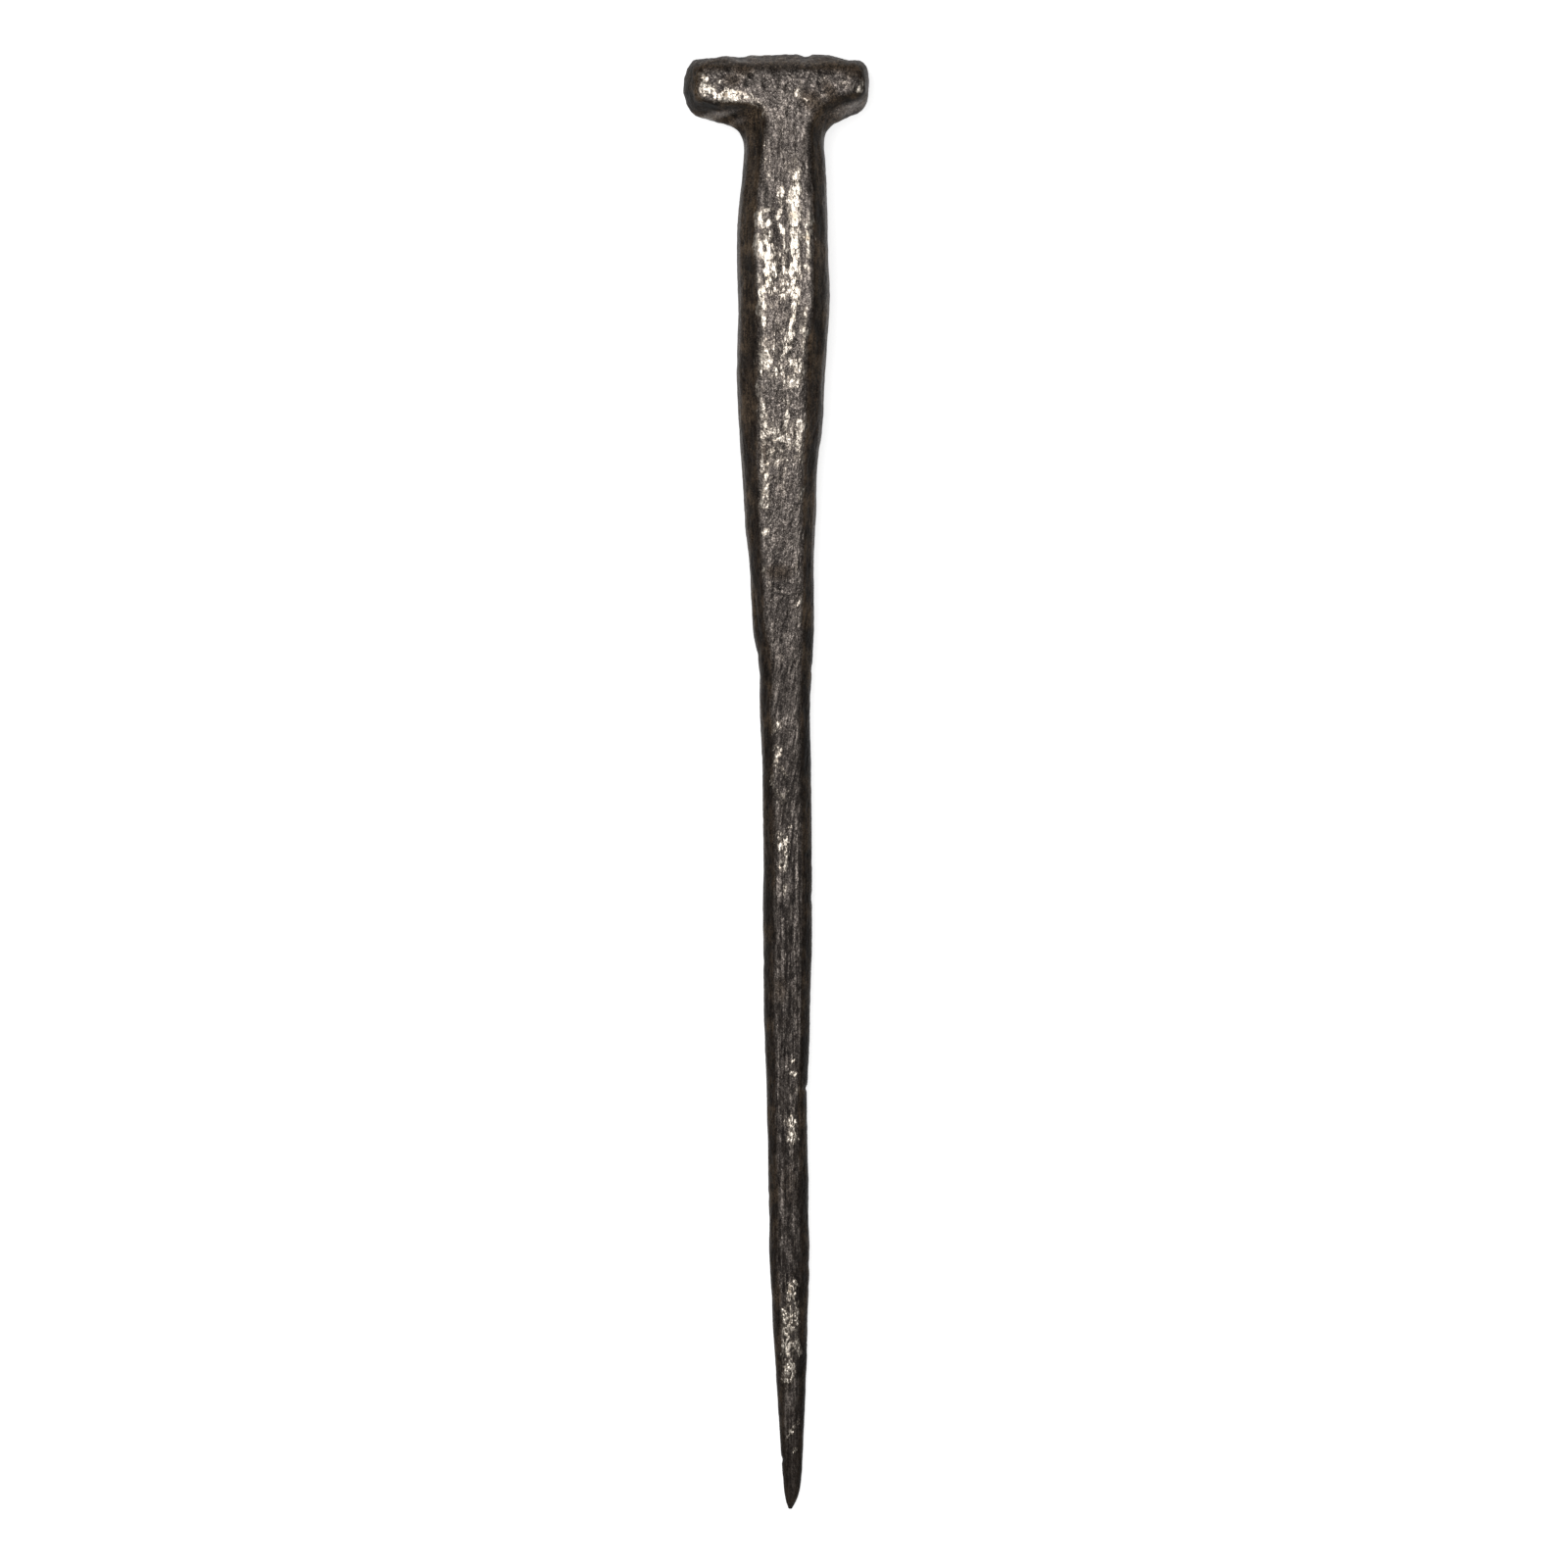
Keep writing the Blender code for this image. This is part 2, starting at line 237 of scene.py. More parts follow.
# Near-black places, in the same form: black scale kept in sheltered places, and painted shade under the
# lugs, at the left lug's end, in the left inner hollow, a painted shadow line along that corner and on the
# right-hand chamfers.
BLACK_SCALE_AND_SHADE_PATCHES = [
    # painted shade under the left lug, in the hollow at its inner corner and on its end
    (-9.5, 117.9, 5.0, 0.75, 0, 1.0),
    (-13.2, 118.3, 1.6, 0.8, -25, 0.8),
    (-3.8, 116.6, 1.6, 1.2, 0, 0.9),
    (-3.4, 113.4, 0.8, 2.4, 0, 0.7),
    (-15.3, 121.5, 1.3, 3.6, 0, 1.0),
    (10.6, 121.2, 3.6, 2.4, 0, 0.12),
    # painted shade under the right lug and at its inner corner
    (12.6, 119.2, 3.6, 0.9, -15, 1.0),
    (8.6, 117.3, 2.2, 1.0, -35, 0.8),
    (6.8, 113.5, 0.9, 3.5, 5, 0.7),
    # a painted shadow line along the left inner corner
    (-3.0, 111.5, 0.3, 4.8, -2, 0.9),
    (1.0, 109.0, 4.2, 5.5, 0, 0.22),
    (1.0, 119.5, 5.0, 3.0, 0, 0.08),
    (1.0, 91.0, 4.4, 9.0, 0, 0.26),
    (1.6, 78.5, 3.6, 5.0, 0, 0.24),
    (0.7, 16.0, 3.4, 5.0, 0, 0.25),
    # painted shade on the right-hand chamfers down the shank, the side away from the light; the left belly
    # chamfer is darkened too
    (4.2, 1.5, 0.5, 7.0, 0, 0.7),
    (7.2, 100.0, 0.8, 9.0, 0, 0.6),
    (7.2, 82.0, 0.9, 10.0, 0, 0.6),
    (-5.0, 91.0, 0.9, 12.0, 0, 0.5),
    (6.2, 60.0, 0.9, 10.0, 0, 0.6),
    (5.6, 10.0, 1.0, 40.0, 0, 0.8),
    (4.9, -50.0, 1.0, 30.0, 0, 0.8),
    (4.2, -95.0, 1.0, 26.0, 0, 0.8),
]

# Bands under the lugs, along the head's top and beside the belly that are rubbed dull grey, in the same
# form. Their grey is lightened as painted light: a painted reflection of the pale floor under the lugs and
# beside the belly, and painted light from above on the head's top.
DULL_AND_LIT_PATCHES = [
    (-11.0, 116.2, 4.2, 0.55, -14, 1.0),
    (-6.8, 115.2, 2.0, 0.5, -22, 0.7),
    (12.6, 117.6, 3.6, 0.85, -25, 1.0),
    (0.0, 125.6, 15.0, 1.2, 0, 0.9),
    (-7.6, 100.0, 0.5, 12.0, 0, 0.5),
]

# Brown, rusted places on the front, in the same form.
RUSTED_PATCHES = [
    (-10.5, 125.2, 4.0, 1.3, 0, 0.7),
    (0.0, 125.8, 8.0, 1.5, 0, 0.85),
    (9.5, 125.2, 5.5, 1.6, 0, 0.95),
    (-5.8, 124.3, 2.2, 1.2, 0, 0.8),
    (-7.6, 122.2, 1.6, 1.2, 0, 0.6),
    (-8.9, 119.7, 0.75, 0.6, 0, 1.0),
    (-13.6, 123.0, 1.0, 2.5, 0, 0.6),
    (-4.2, 116.0, 2.4, 2.0, 0, 1.0),
    (-4.6, 112.5, 1.2, 2.5, 0, 0.8),
    (6.3, 118.6, 2.6, 1.6, 40, 0.75),
    (9.4, 120.0, 2.6, 1.0, 60, 0.7),
    (13.2, 124.0, 2.0, 1.4, 0, 0.7),
    (7.4, 115.5, 1.2, 2.5, 0, 0.8),
    (8.0, 110.0, 0.8, 4.0, 0, 0.6),
    (-4.8, 104.0, 1.0, 6.0, 0, 0.6),
    (-5.6, 97.0, 0.9, 4.5, 0, 0.7),
    (-5.9, 87.0, 0.9, 3.0, 0, 0.7),
    (-5.2, 79.0, 0.8, 4.5, 0, 0.6),
    (-5.0, 66.0, 0.8, 6.0, 0, 0.6),
    (-2.2, 57.0, 0.7, 3.6, 0, 0.5),
    (7.2, 88.0, 0.6, 4.0, 0, 0.4),
    (6.6, 66.0, 0.6, 5.0, 0, 0.4),
    (0.4, 36.8, 2.6, 1.3, 0, 0.6),
    (0.6, -35.9, 1.2, 2.2, 0, 0.6),
    (-1.0, -8.0, 0.8, 5.0, 0, 0.4),
    (2.0, -70.0, 1.4, 4.0, 0, 0.35),
    (1.4, -104.0, 1.0, 3.0, 0, 0.3),
]

# Marks pressed or cut into the front: x, y, half width, half length, lean as above, and depth in
# millimetres. A negative depth is a raised flake or lap.
FRONT_MARKS = [
    # head
    (-4.5, 123.1, 0.45, 0.5, 0, 0.42),
    (-5.1, 121.8, 0.3, 1.2, 28, 0.25),
    (-8.6, 118.6, 0.9, 0.8, 0, 0.16),
    (-7.5, 122.6, 1.8, 1.0, 20, 0.18),
    (-11.0, 120.6, 1.6, 1.5, 0, -0.14),
    (-13.0, 123.9, 1.2, 0.5, 60, 0.12),
    (4.1, 119.6, 1.3, 1.3, 0, -0.10),
    (0.5, 122.5, 2.4, 0.5, 80, 0.08),
    (7.4, 119.8, 0.5, 1.6, 60, 0.14),
    (9.8, 121.6, 0.5, 2.2, 65, -0.10),
    (11.8, 122.6, 0.5, 0.6, 0, 0.16),
    (8.3, 123.8, 1.8, 0.5, 0, 0.12),
    (13.9, 120.6, 0.7, 1.5, 15, 0.12),
    (-2.3, 117.0, 0.7, 1.6, 25, -0.14),
    (-3.1, 112.6, 0.5, 3.6, -2, 0.22),
    (1.0, 120.5, 0.6, 2.6, 10, -0.12),
    (-1.8, 121.0, 0.7, 2.4, -15, 0.14),
    (5.6, 121.4, 0.7, 2.2, 20, 0.14),
    (6.8, 117.2, 0.5, 2.0, 30, 0.16),
    (2.2, 116.6, 0.4, 2.0, -5, 0.12),
    # neck and belly
    (1.2, 112.5, 0.35, 3.5, 0, 0.10),
    (-0.6, 111.0, 0.3, 3.0, 3, 0.08),
    (3.6, 111.5, 0.3, 3.2, -4, 0.10),
    (5.0, 107.5, 0.35, 2.5, 0, 0.08),
    (-1.5, 102.4, 0.4, 1.6, 10, 0.14),
    (0.2, 95.9, 0.7, 2.2, -8, 0.14),
    (4.2, 95.0, 0.25, 4.5, 0, 0.14),
    (0.5, 89.9, 0.3, 3.4, 8, 0.12),
    (-1.5, 88.2, 0.8, 0.4, 20, 0.10),
    (3.5, 88.4, 0.9, 0.5, -15, 0.10),
    (2.3, 83.5, 0.35, 1.5, 20, 0.12),
    (0.6, 78.2, 1.4, 2.2, 10, 0.10),
    (5.3, 83.0, 1.2, 4.0, 0, 0.08),
    (2.2, 66.9, 0.5, 0.5, 0, -0.12),
    (-0.5, 66.0, 1.6, 0.8, 0, 0.10),
    (3.0, 76.5, 0.7, 0.9, 0, 0.12),
    # below the belly
    (1.0, 54.0, 0.3, 3.0, 14, 0.08),
    (3.2, 47.0, 0.3, 2.6, 16, 0.08),
    (0.6, 35.3, 1.9, 1.9, 0, 0.16),
    (0.9, 33.3, 1.6, 0.4, 15, -0.14),
    (-3.6, 29.5, 0.35, 6.5, -6, 0.22),
    (3.1, 20.8, 0.35, 1.6, 26, 0.2),
    (0.3, 15.0, 0.4, 3.0, 10, 0.1),
    # middle of the shank
    (1.3, -2.4, 1.3, 1.1, 0, -0.10),
    (1.2, -12.2, 1.2, 2.8, -12, -0.12),
    (2.2, -13.8, 0.3, 2.8, 12, 0.2),
    (0.7, -35.9, 0.9, 1.7, 0, 0.16),
    (2.7, -26.0, 0.3, 2.2, 10, 0.1),
    (1.0, -46.0, 0.3, 3.4, 8, 0.1),
    # lower shank
    (2.6, -60.2, 1.0, 2.6, 0, -0.08),
    (1.6, -71.0, 0.3, 3.0, 6, 0.1),
    (2.4, -88.6, 1.2, 2.2, 0, -0.08),
    (2.6, -80.5, 0.4, 2.4, 8, 0.1),
    (2.8, -113.1, 0.25, 1.7, 27, 0.16),
]

# Nicks and bulges of the outline: x, y, reach in millimetres and depth in millimetres.
OUTLINE_MARKS = [
    (-6.1, 126.6, 1.6, 0.36),
    (4.9, 126.9, 1.5, 0.40),
    (12.4, 126.3, 1.6, 0.28),
    (-2.9, 127.0, 1.0, 0.12),
    (1.3, 127.2, 1.8, -0.14),
    (-9.2, 126.9, 1.6, -0.12),
    (9.0, 126.8, 1.4, -0.12),
    (-15.3, 125.6, 1.0, 0.12),
    (-16.0, 119.3, 0.9, 0.12),
    (16.2, 121.4, 0.9, 0.12),
    (5.35, -53.2, 0.7, 0.26),
    (0.95, -118.1, 0.8, 0.2),
    (-3.9, 22.4, 1.1, 0.16),
    (-6.1, 73.5, 1.6, 0.12),
    (7.9, 93.0, 1.8, -0.10),
    (-5.0, 47.0, 1.4, 0.12),
    (-4.1, 17.6, 0.7, 0.16),
    (-4.0, 13.0, 0.6, 0.16),
    (-3.9, 9.4, 0.9, -0.12),
    (-3.7, 5.6, 0.6, 0.14),
    (7.0, 58.5, 1.3, 0.12),
    (6.2, 20.0, 1.2, 0.1),
    (5.8, -20.0, 1.4, 0.1),
    (-3.0, -31.0, 1.3, 0.1),
    (-1.9, -72.0, 1.2, 0.1),
    (5.1, -84.0, 1.2, 0.1),
]


# ---------------------------------------------------------------------------------------------- mesh helpers

def remeshed(cad):
    """A fine, even mesh of the spike's solid."""
    welded = bmesh.new()
    welded.from_mesh(cad.data)
    bmesh.ops.remove_doubles(welded, verts=welded.verts, dist=WELD)
    rough = bpy.data.meshes.new("rough")
    welded.to_mesh(rough)
    welded.free()
    holder = bpy.data.objects.new("rough", rough)
    bpy.context.scene.collection.objects.link(holder)
    remesh = holder.modifiers.new("remesh", "REMESH")
    remesh.mode = "VOXEL"
    remesh.voxel_size = VOXEL
    remesh.use_smooth_shade = True
    depsgraph = bpy.context.evaluated_depsgraph_get()
    mesh = bpy.data.meshes.new_from_object(holder.evaluated_get(depsgraph))
    bpy.data.objects.remove(holder)
    bpy.data.meshes.remove(rough)
    mesh.name = "forged_skin"
    return mesh


def points_of(mesh):
    """The mesh's points in millimetres."""
    flat = np.empty(len(mesh.vertices) * 3, np.float32)
    mesh.vertices.foreach_get("co", flat)
    return flat.reshape(-1, 3).astype(float) / MM


def set_points(mesh, points):
    mesh.vertices.foreach_set("co", (points * MM).astype(np.float32).ravel())
    mesh.update()


def normals_of(mesh):
    flat = np.empty(len(mesh.vertices) * 3, np.float32)
    mesh.vertices.foreach_get("normal", flat)
    return flat.reshape(-1, 3).astype(float)


def edges_of(mesh):
    flat = np.empty(len(mesh.edges) * 2, np.int32)
    mesh.edges.foreach_get("vertices", flat)
    return flat.reshape(-1, 2)


def neighbour_mean(values, edges):
    """Each point's mean of its neighbours' values."""
    count = np.bincount(edges.ravel(), minlength=len(values))
    mean = np.empty_like(values)
    for axis in range(values.shape[1]):
        total = np.bincount(edges[:, 0], values[edges[:, 1], axis], len(values))
        total += np.bincount(edges[:, 1], values[edges[:, 0], axis], len(values))
        mean[:, axis] = total / count
    return mean


def eased(values, edges, weights, rounds):
    """Values moved towards their neighbours', which rounds the arrises off."""
    for _ in range(rounds):
        values = values + (neighbour_mean(values, edges) - values) * weights[:, None]
    return values


def write_attribute(mesh, name, values):
    attribute = mesh.attributes.new(name, "FLOAT", "POINT")
    attribute.data.foreach_set("value", np.clip(values, 0.0, 1.0).astype(np.float32))


# ---------------------------------------------------------------------------------------------- patterns

def smooth_step(low, high, values):
    part = np.clip((values - low) / (high - low), 0.0, 1.0)
    return part * part * (3 - 2 * part)


def field(points, stretch, offset, octaves=1):
    """Smooth noise from -1 to 1 at points in millimetres. stretch is the size of a lump along each axis."""
    scaled = points / np.array(stretch) + offset
    if octaves == 1:
        return np.array([noise.noise(point) for point in scaled])
    return np.array([noise.fractal(point, 0.8, 2.0, octaves) for point in scaled])


def pits(points, spacing, offset, size):
    """1 in the middle of scattered pits and 0 away from them. size is a share of their spacing."""
    scaled = points / spacing + offset
    nearest = np.array([noise.voronoi(point)[0][0] for point in scaled])
    return 1 - smooth_step(0.3 * size, size, nearest)


def ellipse(points, x, y, half_width, half_length, lean):
    """Distance from the middle of a leaning ellipse seen from the front, 1 on its edge."""
    angle = math.radians(lean)
    across = points[:, 0] - x
    along = points[:, 1] - y
    turned_x = across * math.cos(angle) - along * math.sin(angle)
    turned_y = across * math.sin(angle) + along * math.cos(angle)
    return np.hypot(turned_x / half_width, turned_y / half_length)


def painted(points, patches, grow, core):
    """Where the patches lie: each one's strength inside its core, fading out to its edge."""
    shade = np.zeros(len(points))
    for x, y, half_width, half_length, lean, strength in patches:
        reach = ellipse(points, x, y, half_width + grow, half_length + grow, lean)
        shade = np.maximum(shade, strength * (1 - smooth_step(core, 1.3, reach)))
    return shade


def front_marks(points, normals):
    """Height of the listed marks of the front."""
    height = np.zeros(len(points))
    for x, y, half_width, half_length, lean, depth in FRONT_MARKS:
        reach = ellipse(points, x, y, half_width, half_length, lean)
        height -= depth * (1 - smooth_step(0.2, 1.25, reach))
    return height * smooth_step(0.1, 0.5, normals[:, 2])


def outline_marks(points):
    """Height of the listed nicks and bulges of the outline."""
    height = np.zeros(len(points))
    for x, y, reach, depth in OUTLINE_MARKS:
        distance = np.hypot(points[:, 0] - x, points[:, 1] - y) / reach
        height -= depth * (1 - smooth_step(0.1, 1.1, distance))
    return height


# ---------------------------------------------------------------------------------------------- forged skin

def forged_height(points, normals):
    """How far the skin stands out of the plain shape, in millimetres."""
    lumps = field(points, (7.0, 13.0, 7.0), 11.3)
    hammer = field(points, (3.6, 6.5, 3.6), 47.1)
    uneven = field(points, (1.5, 3.2, 1.5), 5.7, 3)
    rough = field(points, (0.7, 1.2, 0.7), 91.9, 2)
    grooves = field(points, (0.8, 7.0, 0.9), 23.0, 2)
    knobs = field(points, (1.9, 1.7, 1.9), 71.4, 3)
    pitted = pits(points, (1.9, 2.6, 1.9), 3.1, 0.32)
    head = smooth_step(111.0, 116.0, points[:, 1])
    top = smooth_step(121.5, 124.5, points[:, 1])
    side = 1 - smooth_step(0.75, 0.95, np.abs(normals[:, 2]))
    body = 1 - smooth_step(-100.0, -127.0, points[:, 1])
    height = 0.10 * lumps + 0.09 * hammer * (1 + 0.7 * head)
    height += 0.065 * uneven * (1 + 0.4 * top)
    height += 0.10 * knobs * head
    height += 0.034 * rough * (1 + top)
    height += 0.035 * grooves * (1 - head)
    height -= 0.10 * pitted * (0.35 + 0.65 * np.maximum(side, top))
    return height * (0.45 + 0.55 * body)


def soften_arrises(mesh):
    """The hammer leaves the head's top edge blunt and the other arrises barely eased."""
    points = points_of(mesh)
    edges = edges_of(mesh)
    front = smooth_step(-0.2, 0.3, normals_of(mesh)[:, 2])
    top = smooth_step(120.5, 124.0, points[:, 1])
    right_lug = smooth_step(6.5, 9.5, points[:, 0]) * smooth_step(112.0, 115.0, points[:, 1])
    far_left = 1 - smooth_step(-15.0, -13.0, points[:, 0])
    points = eased(points, edges, np.full(len(points), 0.5), 4)
    blunt = np.maximum(np.maximum(top, 0.8 * right_lug), 0.6 * far_left)
    points = eased(points, edges, 0.7 * blunt * front, 45)
    set_points(mesh, points)


def struck_marks(points, normals):
    """Where hammer blows have brightened the striking face."""
    blows = field(points, (2.6, 2.6, 2.6), 17.9, 2)
    return 0.7 * smooth_step(0.93, 0.985, normals[:, 1]) * smooth_step(0.0, 0.45, blows)


def rubbed_bright_and_sheen(points, normals):
    """Where the bright patches lie, with ragged outlines. One of them is a painted sheen."""
    ragged = points.copy()
    ragged[:, 0] += 0.7 * field(points, (1.5, 2.2, 1.5), 3.3, 2)
    ragged[:, 1] += 1.0 * field(points, (1.5, 2.2, 1.5), 63.1, 2)
    patches = smooth_step(0.5, 0.85, normals[:, 2]) * painted(ragged, BRIGHT_PATCHES, 0.4, 0.35)
    return np.maximum(patches, struck_marks(points, normals))


def flat_faces(normals):
    """1 on the front's flat and the back, less on the sides and the striking face, 0 on the chamfers."""
    flatness = smooth_step(0.76, 0.97, np.abs(normals[:, 2]))
    flatness = np.maximum(flatness, 0.55 * smooth_step(0.86, 0.99, np.abs(normals[:, 0])))
    return np.maximum(flatness, 0.75 * smooth_step(0.92, 0.985, normals[:, 1]))


def make_spike(cad):
    mesh = remeshed(cad)
    soften_arrises(mesh)
    plain = points_of(mesh)
    facing = normals_of(mesh)
    edges = edges_of(mesh)
    height = forged_height(plain, facing) + (front_marks(plain, facing) + outline_marks(plain))
    forged = plain + facing * height[:, None]
    forged[:, 2] = np.maximum(forged[:, 2], 0.0)
    set_points(mesh, forged)
    mesh.shade_smooth()

    easing = np.full(len(plain), 0.6)
    normals = eased(normals_of(mesh), edges, easing, 3)
    hollow = forged - eased(forged, edges, easing, 8)
    crest = np.einsum("ij,ij->i", hollow, normals_of(mesh))
    rusted = smooth_step(0.2, 0.5, facing[:, 2]) * painted(plain, RUSTED_PATCHES, 0.3, 0.2)
    write_attribute(mesh, "worn_and_sheen", rubbed_bright_and_sheen(plain, facing))
    write_attribute(mesh, "blackened_and_shaded", painted(plain, BLACK_SCALE_AND_SHADE_PATCHES, 0.2, 0.3))
    write_attribute(mesh, "dulled_and_lit", painted(plain, DULL_AND_LIT_PATCHES, 0.2, 0.3))
    write_attribute(mesh, "rusted", rusted)
    write_attribute(mesh, "flatness", flat_faces(normals))
    write_attribute(mesh, "crest", 0.5 + crest * CREST_GAIN)

    spike = bpy.data.objects.new("forged_spike", mesh)
    bpy.context.scene.collection.objects.link(spike)
    mesh.materials.append(worn_iron())
    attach(spike, "root")
    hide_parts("spike")


# ---------------------------------------------------------------------------------------------- node helpers

class Nodes:
    """Short calls for building a node tree. A value may be a number, a colour or another node's socket."""

    def __init__(self, owner):
        owner.use_nodes = True
        self.tree = owner.node_tree
        self.tree.nodes.clear()

    def put(self, socket, value):
        if isinstance(value, bpy.types.NodeSocket):
            self.tree.links.new(value, socket)
        else:
            socket.default_value = value

    def add(self, kind, inputs=(), **settings):
        node = self.tree.nodes.new(kind)
        for name, value in settings.items():
            setattr(node, name, value)
        for name, value in dict(inputs).items():
            self.put(node.inputs[name], value)
        return node

    def math(self, operation, first, second):
        return self.add("ShaderNodeMath", {0: first, 1: second}, operation=operation).outputs[0]

    def plus(self, first, second):
        return self.math("ADD", first, second)

    def minus(self, first, second):
        return self.math("SUBTRACT", first, second)

    def times(self, first, second):
        return self.math("MULTIPLY", first, second)

    def without(self, value, amount, share):
        """value lowered by share where amount is 1."""
        return self.times(value, self.minus(1.0, self.times(amount, share)))

    def ramp(self, value, low, high, start=0.0, end=1.0):
        """value carried from low..high to start..end, smoothly and clamped."""
        inputs = {"Value": value, "From Min": low, "From Max": high, "To Min": start, "To Max": end}
        return self.add("ShaderNodeMapRange", inputs, interpolation_type="SMOOTHSTEP").outputs[0]

    def attribute(self, name):
        return self.add("ShaderNodeAttribute", attribute_name=name).outputs["Fac"]

    def split(self, vector):
        parts = self.add("ShaderNodeSeparateXYZ", {0: vector}).outputs
        return parts["X"], parts["Y"], parts["Z"]

    def vector(self, x, y, z):
        return self.add("ShaderNodeCombineXYZ", {"X": x, "Y": y, "Z": z}).outputs[0]

    def noise(self, vector, scale, detail, roughness):
        inputs = {"Vector": vector, "Scale": scale, "Detail": detail, "Roughness": roughness}
        return self.add("ShaderNodeTexNoise", inputs).outputs["Fac"]

    def turned(self, vector, angle):
        """vector turned about a slanting axis, so that the noise read from it lines up with nothing."""
        inputs = {"Vector": vector, "Axis": TURN_AXIS, "Angle": angle}
        return self.add("ShaderNodeVectorRotate", inputs, rotation_type="AXIS_ANGLE").outputs[0]

    def mix(self, factor, first, second):
        """A colour part of the way from first to second."""
        return self.add("ShaderNodeMix", {0: factor, 6: first, 7: second}, data_type="RGBA").outputs[2]

    def blend(self, factor, first, second):
        """A number part of the way from first to second."""
        return self.add("ShaderNodeMix", {0: factor, 2: first, 3: second}, data_type="FLOAT").outputs[0]

    def seen(self):
        """1 for what the camera sees and 0 for light that is on its way elsewhere."""
        return self.add("ShaderNodeLightPath").outputs["Is Camera Ray"]


# ---------------------------------------------------------------------------------------------- worn iron

def surface_patterns(n):
    """The iron's noises, read in millimetres, and the mesh's attributes."""
    place = n.add("ShaderNodeTexCoord").outputs["Object"]
    mm = n.add("ShaderNodeVectorMath", {0: place, 1: [1 / MM] * 3}, operation="MULTIPLY").outputs[0]
    across, along, depth = n.split(mm)

    # File marks and forging grain run along the shank and lean a little below the belly.
    leaning = n.math("MAXIMUM", n.math("MINIMUM", n.minus(along, LEAN_FROM), 0.0), LEAN_TO - LEAN_FROM)
    leant = n.minus(across, n.times(leaning, LEAN))
    from_head = n.minus(along, HEAD_BASE)
    in_shank = n.times(n.math("MINIMUM", from_head, 0.0), 0.30)
    in_head = n.times(n.math("MAXIMUM", from_head, 0.0), 0.9)
    grained = n.vector(leant, n.plus(in_shank, in_head), depth)
    rounded = n.vector(leant, n.times(along, 0.6), depth)
    brushed = n.vector(leant, n.times(along, 0.035), n.times(depth, 0.3))
    slanted = n.turned(mm, 0.7)
    askew = n.turned(mm, 2.1)

    streaks = n.noise(n.turned(grained, 1.3), 1.3, 3.0, 0.6)
    clumps = n.noise(n.turned(rounded, 1.8), 1.35, 2.0, 0.55)
    grains = n.noise(n.turned(rounded, 2.9), 2.3, 1.0, 0.5)
    cells = n.add("ShaderNodeTexVoronoi", {"Vector": grained, "Scale": 1.25}, feature="DISTANCE_TO_EDGE")
    crack = n.times(n.ramp(cells.outputs["Distance"], 0.0, 0.11, 1.0, 0.0), n.ramp(streaks, 0.42, 0.55))
    return SimpleNamespace(
        along=along,
        brush=n.noise(brushed, 2.5, 2.0, 0.6),
        grain=n.noise(n.turned(grained, 0.6), 2.3, 4.0, 0.65),
        streaks=streaks,
        speckle=n.noise(slanted, 3.1, 3.0, 0.75),
        fine=n.noise(askew, 6.5, 2.0, 0.6),
        blotch=n.noise(slanted, 0.24, 4.0, 0.55),
        stain=n.noise(askew, 0.7, 3.0, 0.6),
        knobs=n.noise(askew, 1.5, 1.5, 0.5),
        ridges=n.noise(n.turned(grained, 2.4), 1.6, 1.5, 0.5),
        clumps=n.blend(n.ramp(along, 62.0, 42.0), clumps, grains),
        grains=grains,
        crack=crack,
        lower=n.ramp(along, 60.0, -20.0),
        in_neck=n.times(n.ramp(along, 99.0, 106.0), n.ramp(along, 117.0, 112.0)),
        worn_and_sheen=n.attribute("worn_and_sheen"),
        rusted=n.attribute("rusted"),
        black=n.attribute("blackened_and_shaded"),
        dulled_and_lit=n.attribute("dulled_and_lit"),
        flatness=n.attribute("flatness"),
        crest=n.minus(n.attribute("crest"), 0.5),
    )


def fine_relief(n, on):
    """Height of the finest grain, which decides what rubbing reaches first."""
    relief = n.plus(n.times(on.grain, 0.35), n.times(on.speckle, 0.42))
    relief = n.plus(relief, n.times(on.fine, 0.23))
    brushing = n.plus(n.ramp(on.along, 60.0, 40.0, 0.14, 0.24), n.ramp(on.along, 118.0, 124.0, 0.0, -0.08))
    relief = n.plus(relief, n.times(on.brush, brushing))
    return n.minus(relief, n.times(on.crack, 0.03))


def proudness(n, on, relief):
    """How far a place stands proud: about 0 on average, and more on crests, except in the neck."""
    proud = n.minus(n.plus(relief, n.times(on.streaks, 0.18)), 0.67)
    proud = n.minus(proud, n.ramp(on.along, 60.0, 40.0, -0.01, 0.04))
    return n.plus(proud, n.times(on.crest, n.blend(on.in_neck, 0.15, 0.0)))


def bump_height(n, on, relief):
    """Height of the bumps that catch the light. They are coarser than the grain."""
    bumps = n.plus(n.times(on.knobs, 0.5), n.times(on.ridges, n.ramp(on.along, 60.0, 30.0, 0.5, 1.1)))
    bumps = n.plus(bumps, n.times(relief, 0.12))
    bumps = n.plus(bumps, n.times(on.brush, n.ramp(on.along, 118.0, 112.0, 0.0, 0.18)))
    peened = n.plus(n.ramp(on.along, 104.0, 62.0, 0.12, 0.6), n.ramp(on.along, 10.0, -60.0, 0.0, 1.0))
    return n.plus(bumps, n.times(on.grains, peened))


def over_threshold(n, on, proud):
    """Above 0 where bright metal shows. A patch lowers the threshold that the relief has to pass."""
    threshold = n.minus(0.17, n.times(on.worn_and_sheen, 0.26))
    reached = n.plus(n.times(proud, 0.6), n.times(n.minus(on.clumps, 0.5), 0.42))
    return n.minus(n.minus(reached, threshold), n.times(on.crack, 0.08))


